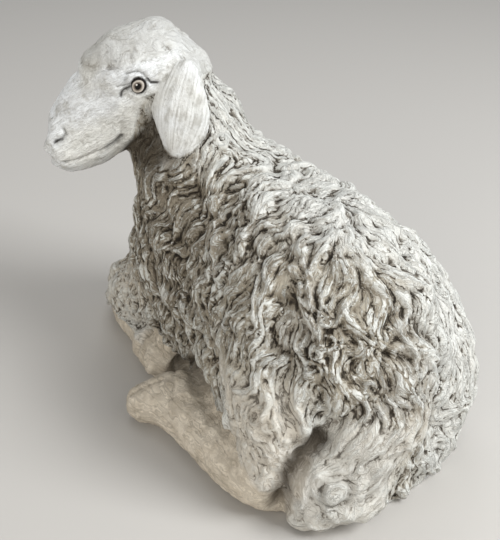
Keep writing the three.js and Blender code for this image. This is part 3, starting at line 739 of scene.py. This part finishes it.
def shape_ears(skin, regions):
    """Draws each ear in towards its root and out a little at its tip, like a drop, and sets the right one
    further in.
    """
    for sign in (1, -1):
        middle, axes = ear_frame(sign)
        local = (skin.points - middle) @ axes.T
        down = -local[:, 2] / EAR_RADII[2]
        narrow = 1.04 - 0.42 * smooth_step(-down, -0.15, 1.0) + 0.10 * smooth_step(down, 0.35, 0.95)
        slimmer = local * np.column_stack([narrow ** 0, narrow, narrow ** 0])
        if sign > 0:
            slimmer[:, 1] += 4.5 * smooth_step(down, 0.1, 1.0) - 1.5 * smooth_step(-down, 0.2, 1.0)
        else:
            slimmer[:, 1] = 0.75 * slimmer[:, 1] - 9
        skin.points += regions.ears[sign][:, None] * ((slimmer - local) @ axes)
    skin.refresh()


# Where the smoothed figure is moved to the photograph's outline: a place, how far round it, and the way.
MOVES = [
    ((14, 150, 12), 17, (1.5, 5.5, 0)),  # under the tail
    ((57, -112, 74), 22, (-10, 6.5, -4)),  # between the chest and the knee
    ((53, -104, 94), 18, (-5, 3, 0)),
    ((50, -84, 152), 15, (6, -4, 0)),  # the throat
    ((70, -128, 24), 24, (-4.5, 2.5, 0)),  # the knee
    ((76, -82, 8), 22, (-6, 2, 0)),  # the foreleg
    ((-6, -58, 187), 18, (-4, 5, 3)),  # the nape
    ((18, -78, 240), 13, (2, -1.5, -4)),  # the poll
    ((-62, 141, 22), 26, (4.5, -3.5, 0)),  # the rump's lower side
    ((28, 150, 12), 20, (1, 3.2, 0)),  # the tail's lower edge
    ((69, 6, 50), 19, (-10, -3, 6)),  # the belly over the fore hoof
]
HOOF_MIDDLE = np.array([60.5, -33.0, 17.0])
HOOF_HALF = np.array([16.5, 11.0, 18.5])
HOOF_ROUNDING = 6  # of the block's edges
HOOF_SHARE = 0.75  # how far the skin is drawn to the block
HOOF_ROUNDS = 6
BRIDGE_RISE = 5.5  # of the nose
MUZZLE_BACK = 3.2


def shape_figure(skin, regions):
    """Moves the large forms a little: the outline, the bridge of the nose and the fore hoof's block."""
    for place, reach, way in MOVES:
        near = near_to(skin.points, place, reach)
        skin.points += near[:, None] * way
    along, up = regions.head[:, 0], regions.head[:, 2]
    on_face = smooth_step(skin.points[:, 2], 135, 150) * (1 - smooth_step(off_skull(regions.head), 3, 10))
    bridge = smooth_step(along, 36, 58) * (1 - smooth_step(along, 84, 99)) * smooth_step(up, -14, 12)
    tip = smooth_step(along, 84, 100) * smooth_step(up, -24, -14)
    skin.points += (on_face * bridge * BRIDGE_RISE)[:, None] * HEAD_AXES[2]
    skin.points -= (on_face * tip * MUZZLE_BACK)[:, None] * HEAD_AXES[0]
    local = skin.points - HOOF_MIDDLE
    inside = np.abs(local) - HOOF_HALF + HOOF_ROUNDING
    corner = np.sign(local) * np.maximum(inside, 0)
    length = np.linalg.norm(corner, axis=1)
    off = length + np.minimum(inside.max(1), 0) - HOOF_ROUNDING
    away = corner / np.maximum(length, 1e-6)[:, None]
    near = (1 - smooth_step(np.abs(off), 3, 9)) * (1 - smooth_step(-local[:, 1], 4, 14))
    skin.points -= (HOOF_SHARE * off * near)[:, None] * away
    for _ in range(HOOF_ROUNDS):
        skin.points += 0.5 * near[:, None] * (skin.around(skin.points) - skin.points)
    skin.points[:, 2] = np.maximum(skin.points[:, 2], 0)
    skin.refresh()


def carve_legs(skin, regions):
    """Cleft hooves with dark lines, the hollow above each one, and the recesses beside the legs, with painted
    shade in them.
    """
    points = skin.points
    cleft = np.zeros(len(points))
    line = np.zeros(len(points))
    toes = [((78, 8, 16), (99, -5, 12)), ((-65, 20, 14), (-60, -8, 10)), ((62, -50, 14), (60, -20, 12)),
            ((-38, -66, 12), (-46, -50, 10))]
    for start, end in toes:
        start, end = np.array(start, float), np.array(end, float)
        span = (end - start) / np.linalg.norm(end - start)
        local = points - start
        along = local @ span
        level = local - along[:, None] * span
        across = level @ np.cross(span, (0, 0, 1))
        near = np.linalg.norm(level, axis=1) < 22
        reach = smooth_step(along, -2, 6) * (1 - smooth_step(along, 26, 34))
        mark = bell(across, 1.4) * reach * near
        collar = bell(along + 5, 2.6) * near
        swell = bell(along + 14, 6.0) * near
        cleft += -1.5 * mark - 1.6 * collar + 1.6 * swell
        line = np.maximum(line, np.maximum(0.3 * mark, 0.35 * collar))
    cleft *= regions.shank
    line *= regions.shank

    def near(places, width):
        return bell(away_from(points, places), width)

    # painted shade in the belly's recess, on the fore hoof's shaded side and under the wool above it
    recess = near(BELLY_RECESS, 8.0)
    beside = np.maximum(near(HOOF_SIDE, 6.0), near(HOOF_TOP, 3.0))
    groove = near(HOOF_CLEFT, 1.6)
    cleft += -6.5 * recess - 3.0 * beside - 2.0 * groove
    return cleft, np.maximum(line, 0.75 * groove), np.maximum(recess, 0.9 * beside)


def carve_tail(skin, regions):
    """The gap that parts the tail from the hock, the curled button on the tail's end, and painted shade in
    the gap, the moat and along the edge.
    """
    points = skin.points
    gap = bell(away_from(points, TAIL_GAP), 6.0)
    off = points - TAIL_KNOB
    radius = np.linalg.norm(off, axis=1)
    button = bell(radius, 6.0)
    moat = bell(radius - 9.5, 2.6)
    edge = bell(off_limb(points, TAIL) - 3.5, 2.4) * smooth_step(points[:, 1], 112, 124)
    above = 1 - regions.floor
    depth = (-9.0 * gap + 3.4 * button - 2.2 * moat - 3.0 * edge) * above
    # painted shade in the gap, in the moat round the button and along the tail's edge
    return depth, np.maximum(1.1 * gap, (0.15 * edge + 0.3 * moat) * above)


def wash_and_shade_on(points):
    """Wash and painted shade, heavy on the shoulder and chest and thin on the nape, back, rump, knee, tail
    and low wool, with painted light on the back and rump.
    """
    x, y, z = points.T
    shoulder = near_to(points, (45, -52, 118), 62)
    chest = smooth_step(-y, 40, 110) * (1 - smooth_step(z, 120, 170))
    # the back and the rump's right side, where the light falls: painted light
    worn = smooth_step(-x, 0, 60) * smooth_step(y, 0, 80)
    crown = smooth_step(z, 130, 165) * smooth_step(-x, -20, 20)
    nape = smooth_step(z, 140, 180) * smooth_step(y, -75, -52)
    low = near_to(points, (60, 100, 40), 40)
    knee = near_to(points, (62, -90, 40), 40)
    tail = near_to(points, (30, 142, 34), 36)
    # lighter places, with thinner wash and painted light
    light = 0.7 * worn + 0.35 * crown + 0.6 * nape + 0.8 * low + 0.7 * knee + 0.5 * tail
    return np.clip(0.45 + 0.75 * shoulder + 0.3 * chest - light, 0, 1)


def roughen(skin, regions):
    """The slight unevenness of a worn casting on the face, the ears and the legs."""
    waves = 0.8 * (lattice(skin.points, 5.5, 21) - 0.5) + 0.5 * (lattice(skin.points, 2.4, 22) - 0.5)
    return waves * np.maximum.reduce([0.7 * regions.face, 1.4 * regions.shank, 0.3 * regions.ear])


def hollows_of(skin, regions):
    """How far each vertex lies below its surroundings, near and wide, and how far it stands above."""
    near = skin.relaxed(skin.points, 3)
    middle = skin.relaxed(near, 11)
    wide = skin.relaxed(middle, 30)
    sunk = [((soft - skin.points) * skin.normals).sum(1) for soft in (near, middle, wide)]
    deep = [np.std(part[regions.wool > 0.8]) for part in sunk]
    mixed = sunk[0] / deep[0] * 0.45 + sunk[1] / deep[1] * 0.4 + sunk[2] / deep[2] * 0.35
    return smooth_step(mixed, -0.1, 1.7), smooth_step(-mixed, -0.1, 1.5)


def cast_sheep():
    """The whole figure, smoothed, carved anew, and marked with where each finish goes."""
    mesh = fine_copy(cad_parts["sheep"])
    skin = Skin(mesh)
    regions = Regions(skin.points)
    dice = np.random.default_rng(SEED)

    first = skin.points.copy()
    smooth_share = 0.5 * np.clip(regions.wool * (1 - 0.85 * regions.tail) + 0.06, 0, 1)[:, None]
    for _ in range(SMOOTH_ROUNDS):
        skin.points = skin.points + smooth_share * (skin.around(skin.points) - skin.points)
    swell = smooth_step(regions.wool, 0.2, 0.9)[:, None]
    skin.refresh()
    lost = ((first - skin.points) * skin.normals).sum(1)
    skin.points += skin.normals * np.clip(skin.relaxed(lost, SWELL_ROUNDS), 0, MOST_SWELL)[:, None] * swell
    skin.refresh()

    shape_ears(skin, regions)
    shape_figure(skin, regions)

    raised, strand = carve_fleece(skin, regions, dice)
    features, line, shade, eye_plane = carve_face(skin, regions)
    hooves, hoof_lines, recess = carve_legs(skin, regions)
    tail, tail_shade = carve_tail(skin, regions)
    line = np.maximum(line, hoof_lines)
    # painted shade: under the jaw, in the tail's gap, in the belly's recess and beside the fore hoof
    shade = np.maximum.reduce([shade, np.minimum(tail_shade, 1.1), 0.9 * recess])
    raised += features + carve_ears(skin, regions) + hooves + tail
    raised += roughen(skin, regions)
    raised = np.where(skin.points[:, 2] < STILL_BELOW, 0, raised)
    skin.points += skin.normals * raised[:, None]
    under = skin.points[:, 2] < FLAT_BELOW
    skin.points[under, 2] = 0
    skin.refresh()

    hollow, ridge = hollows_of(skin, regions)

    legs = [regions.shank, 0.7 * regions.column, 0.55 * regions.forearm, 0.3 * regions.tail]
    painted = {"hollow": hollow, "line": line, "shade": shade, "carved": regions.carved,
               "hairy": regions.hairy, "eye_plane": eye_plane, "ridge": ridge, "wool": regions.wool,
               "wash_and_shade": wash_and_shade_on(skin.points), "strand": strand, "leg": np.maximum.reduce(legs)}
    for name, values in painted.items():
        kind, field = ("FLOAT_VECTOR", "vector") if values.ndim == 2 else ("FLOAT", "value")
        layer = mesh.attributes.new(name, kind, "POINT")
        layer.data.foreach_set(field, values.astype(np.float32).ravel())

    sheep = placed("cast_sheep", mesh)
    thin = sheep.modifiers.new("fewer triangles", "DECIMATE")
    triangles = sum(len(face.vertices) - 2 for face in mesh.polygons)
    thin.ratio = TRIANGLES / triangles
    thin.use_collapse_triangulate = True
    sheep.data = applied_mesh(sheep)
    sheep.modifiers.clear()
    sheep.data.shade_smooth()
    return sheep


class Value:
    """A number in a shader. Sums, products and comparisons of values become Math nodes."""

    def __init__(self, shader, socket):
        self.shader = shader
        self.socket = socket

    def maths(self, operation, *others):
        made = self.shader.node("ShaderNodeMath", {"operation": operation}, {0: self})
        for n, other in enumerate(others):
            self.shader.fill(made.inputs[n + 1], other)
        return Value(self.shader, made.outputs[0])

    def __add__(self, other):
        return self.maths("ADD", other)

    def __sub__(self, other):
        return self.maths("SUBTRACT", other)

    def __mul__(self, other):
        return self.maths("MULTIPLY", other)

    def __rsub__(self, other):
        return (self * -1) + other

    __radd__ = __add__
    __rmul__ = __mul__

    def most(self, other):
        return self.maths("MAXIMUM", other)

    def power(self, other):
        return self.maths("POWER", other)

    def ramp(self, low, high):
        """0 below low, 1 above high, smooth between them."""
        made = self.shader.node("ShaderNodeMapRange", {"interpolation_type": "SMOOTHSTEP"},
                                {"Value": self, "From Min": low, "From Max": high})
        return Value(self.shader, made.outputs[0])


class Shader:
    """A material's nodes."""

    def __init__(self, name):
        self.material = bpy.data.materials.new(name)
        self.material.use_nodes = True
        self.tree = self.material.node_tree
        self.tree.nodes.clear()

    def fill(self, socket, value):
        if isinstance(value, Value):
            value = value.socket
        if isinstance(value, bpy.types.NodeSocket):
            self.tree.links.new(value, socket)
        else:
            socket.default_value = value

    def node(self, kind, settings=None, values=None):
        made = self.tree.nodes.new(kind)
        for name, setting in (settings or {}).items():
            setattr(made, name, setting)
        for name, value in (values or {}).items():
            self.fill(made.inputs[name], value)
        return made

    def attribute(self, name, output="Fac"):
        found = self.node("ShaderNodeAttribute", {"attribute_name": name}).outputs[output]
        return Value(self, found) if output == "Fac" else found

    def place(self):
        return self.node("ShaderNodeTexCoord").outputs["Object"]

    def scaled(self, vector, factors):
        made = self.node("ShaderNodeVectorMath", {"operation": "MULTIPLY"}, {0: vector, 1: factors})
        return made.outputs[0]

    def noise(self, vector, scale, detail=2.0, roughness=0.5):
        made = self.node("ShaderNodeTexNoise", None,
                         {"Vector": vector, "Scale": scale, "Detail": detail, "Roughness": roughness})
        return Value(self, made.outputs["Fac"])

    def mix(self, factor, first, second):
        made = self.node("ShaderNodeMix", {"data_type": "RGBA"}, {"Factor": factor})
        self.fill(made.inputs[6], first)
        self.fill(made.inputs[7], second)
        return made.outputs[2]


def colour(red, green, blue):
    """A colour as a paint chart gives it, 0 to 255, in the shader's linear light."""
    return tuple(((v / 255 + 0.055) / 1.055) ** 2.4 for v in (red, green, blue)) + (1.0,)


def cast_stone():
    """Matt cast stone, with dark wash and painted shade in the hollows, pale ridges with dry-brushing and
    painted highlight, beige legs and the painted eye.
    """
    s = Shader("cast_stone")
    place = s.place()
    strand = s.attribute("strand", "Vector")
    hollow = s.attribute("hollow")
    ridge = s.attribute("ridge")
    wool = s.attribute("wool")
    line = s.attribute("line")
    shade = s.attribute("shade")
    carved = s.attribute("carved")
    hairy = s.attribute("hairy")
    leg = s.attribute("leg")
    wash_and_shade = s.attribute("wash_and_shade")

    cloud = s.noise(place, 22, 3)
    mottle = s.noise(place, 110, 4, 0.6)
    grain = s.noise(place, 700, 3, 0.6)
    speck = s.noise(place, 1700, 2, 0.6)
    hair = s.noise(s.scaled(strand, (1.3, 1.3, 0.5)), 1.0, 2, 0.6).ramp(0.36, 0.64)
    to_head = HEAD_TURN.inverted().to_euler()
    along_head = s.node("ShaderNodeMapping", None, {"Vector": place, "Rotation": to_head})
    strokes = s.noise(s.scaled(along_head.outputs[0], (150, 800, 800)), 1.0, 3, 0.6).ramp(0.36, 0.6)
    run = Value(s, s.node("ShaderNodeSeparateXYZ", None, {0: strand}).outputs[1])
    across = run.maths("ABSOLUTE").ramp(0.05, 0.8)

    wool_tone_and_shade = s.mix(cloud.ramp(0.38, 0.66), colour(174, 167, 152), colour(194, 191, 183))
    # darker wool where the wash and painted shade are heavy
    wool_tone_and_shade = s.mix((mottle * 0.6 + wash_and_shade * 0.4).ramp(0.62, 0.3), colour(148, 139, 123), wool_tone_and_shade)
    pale = s.mix(cloud.ramp(0.4, 0.6), colour(241, 241, 236), colour(249, 252, 254))
    pale = s.mix(mottle.ramp(0.5, 0.72) * 0.7, pale, colour(188, 186, 179))
    pale = s.mix(wool * 0.75, pale, colour(186, 185, 180))
    legs = s.mix(mottle.ramp(0.3, 0.7), colour(228, 218, 201), colour(198, 186, 167))
    legs = s.mix((0.5 - hair) * 0.5 + 0.25, legs, colour(174, 162, 144))
    base = s.mix(leg, pale, legs)
    broken = mottle.ramp(0.36, 0.62) * 0.75 + 0.25
    base = s.mix((1 - across) * hairy * broken * 0.6, base, colour(126, 121, 111))
    base = s.mix((1 - hair) * 0.25, base, colour(150, 145, 135))
    bare_head = (1 - wool).most(0.75 - carved * 3.0) * (1 - hairy.ramp(0.22, 0.4)) * (1 - leg.ramp(0.0, 0.3))
    base = s.mix((1 - strokes) * bare_head * 0.2, base, colour(136, 134, 128))
    base = s.mix(hairy * (1 - leg) * 0.4, base, colour(196, 195, 189))
    # paler wool where they are thin: painted light on the lit back and rump
    wool_tone_and_shade = s.mix((0.4 - wash_and_shade).ramp(0.0, 0.4) * 0.8, wool_tone_and_shade, colour(212, 211, 205))
    wool_tone_and_shade = s.mix(leg * 0.7, wool_tone_and_shade, colour(216, 206, 190))
    base = s.mix((carved * (1 - leg * 0.5)).ramp(0.1, 0.7), base, wool_tone_and_shade)
    # pale ridges: dry-brushing, and painted highlight on the raised locks
    lit = ridge * 0.75 + across * 0.3 + (hair - 0.5) * 0.75 + (grain - 0.5) * 0.7 - wash_and_shade * 0.25
    base = s.mix(lit.ramp(0.15, 1.1) * carved, base, colour(212, 212, 206))
    # dark wash, and painted shade, in the hollows and in the grooves between the strands
    low = hollow * 0.85 + (1 - across) * 0.35 + (0.5 - hair) * 0.6 + (mottle - 0.5) * 0.8 + wash_and_shade * 0.3
    low = low + (speck - 0.5) * 0.4
    worn = s.mix(low.ramp(0.3, 1.0) * (carved * 0.65 + 0.17), base, colour(98, 88, 73))
    worn = s.mix(low.ramp(0.7, 1.35) * (carved * 0.85 + 0.1), worn, colour(44, 39, 33))
    pits = grain.ramp(0.64, 0.73) * (1 - wool * 0.6)
    worn = s.mix(pits * 0.5, worn, colour(118, 111, 99))
    worn = s.mix(shade * 0.8, worn, colour(66, 58, 47))
    # dark lines of the eye, cracks, creases and hooves, and the painted shadows beside the eye and mouth
    dark_lines_and_shadow = (line * 1.15 + (speck - 0.5) * 0.4).ramp(0.2, 1.0)
    worn = s.mix(dark_lines_and_shadow, worn, colour(38, 34, 31))
    stone = paint_eye(s, worn)

    ground = s.node("ShaderNodeBsdfPrincipled", None, {"Base Color": stone, "Roughness": 0.85})
    ground.inputs["Specular IOR Level"].default_value = 0.2
    relief = hair * (carved * 0.5 + 0.08) + strokes * bare_head * 0.22 + grain * 0.35 + speck * 0.12
    bump = s.node("ShaderNodeBump", None, {"Height": relief, "Distance": 0.0013, "Strength": 1.0})
    s.fill(ground.inputs["Normal"], bump.outputs[0])
    out = s.node("ShaderNodeOutputMaterial")
    s.fill(out.inputs["Surface"], ground.outputs[0])
    return s.material


def paint_eye(s, stone):
    """The painted eye: a dark rim, a cream iris and a dark pupil with a spot of light."""
    plane = s.attribute("eye_plane", "Vector")
    parts = s.node("ShaderNodeSeparateXYZ", None, {0: plane})
    x, y, side = (Value(s, parts.outputs[n]) for n in range(3))
    off = (x * x + y * y).power(0.5)
    head_side = side.ramp(17, 19)
    rim = (1 - off.ramp(4.6, 5.5)) * head_side
    iris = (1 - off.ramp(3.5, 3.9)) * head_side
    inner = (1 - off.ramp(2.3, 3.0)) * head_side
    pupil = (1 - off.ramp(1.7, 2.1)) * head_side
    # a painted highlight: the light's reflection on the pupil
    glint_off = ((x + 0.9) * (x + 0.9) + (y - 1.0) * (y - 1.0)).power(0.5)
    glint = (1 - glint_off.ramp(0.35, 0.7)) * head_side
    painted = s.mix(rim, stone, colour(30, 25, 22))
    painted = s.mix(iris, painted, colour(196, 188, 178))
    painted = s.mix(inner * 0.85, painted, colour(98, 86, 74))
    painted = s.mix(pupil, painted, colour(24, 20, 18))
    return s.mix(glint, painted, colour(240, 236, 228))


def plain(name, shade):
    s = Shader(name)
    surface = s.node("ShaderNodeBsdfPrincipled", None, {"Base Color": shade, "Roughness": 0.9})
    s.fill(s.node("ShaderNodeOutputMaterial").inputs["Surface"], surface.outputs[0])
    return s.material


# The camera: the photograph's view, in the drawn figure's millimetres.
VIEW_FROM = np.array([293.0, 485.0, 439.0])
VIEW_HEADING = 30.0  # degrees from -Y towards -X
VIEW_DOWN = 31.7
FOCAL_PIXELS = 1000.0
VIEW_HEIGHT = 540.0
SENSOR = 36.0


def set_camera():
    lens = bpy.data.cameras.new("view")
    lens.sensor_width = SENSOR
    lens.lens = FOCAL_PIXELS / VIEW_HEIGHT * SENSOR
    lens.clip_start = 0.01
    eye = placed("view", lens)
    heading, down = math.radians(VIEW_HEADING), math.radians(VIEW_DOWN)
    level = math.cos(down)
    ahead = Vector((-math.sin(heading) * level, -math.cos(heading) * level, -math.sin(down)))
    eye.rotation_euler = ahead.to_track_quat("-Z", "Y").to_euler()
    eye.location = Vector((VIEW_FROM - FIGURE_MIDDLE) * MM)
    bpy.context.scene.camera = eye


def add_light(name, place, size, power, shade):
    lamp = bpy.data.lights.new(name, "AREA")
    lamp.size = size
    lamp.energy = power
    lamp.color = shade
    holder = placed(name, lamp)
    holder.location = place
    holder.rotation_euler = (Vector((0, 0, 0.1)) - Vector(place)).to_track_quat("-Z", "Y").to_euler()


def add_floor():
    flat = bmesh.new()
    bmesh.ops.create_grid(flat, x_segments=1, y_segments=1, size=4.0)
    mesh = bpy.data.meshes.new("floor")
    flat.to_mesh(mesh)
    flat.free()
    floor = placed("floor", mesh)
    floor.data.materials.append(plain("pale_floor", (0.5, 0.48, 0.45, 1.0)))


def set_light():
    add_light("window", (-0.6, 0.8, 0.95), 0.6, 20.0, (0.96, 0.98, 1.0))
    add_light("room", (1.2, 0.7, 0.5), 1.4, 12.0, (1.0, 0.96, 0.9))
    add_light("over", (-0.2, -0.6, 1.3), 0.8, 5.0, (0.97, 0.98, 1.0))
    world = bpy.data.worlds.new("studio")
    world.use_nodes = True
    world.node_tree.nodes["Background"].inputs["Color"].default_value = (0.86, 0.88, 0.9, 1)
    world.node_tree.nodes["Background"].inputs["Strength"].default_value = 0.4
    bpy.context.scene.world = world
    bpy.context.scene.view_settings.view_transform = "Standard"


set_camera()
set_light()
add_floor()
sheep = cast_sheep()
sheep.data.materials.clear()
sheep.data.materials.append(cast_stone())
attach(sheep, "root")
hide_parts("sheep")
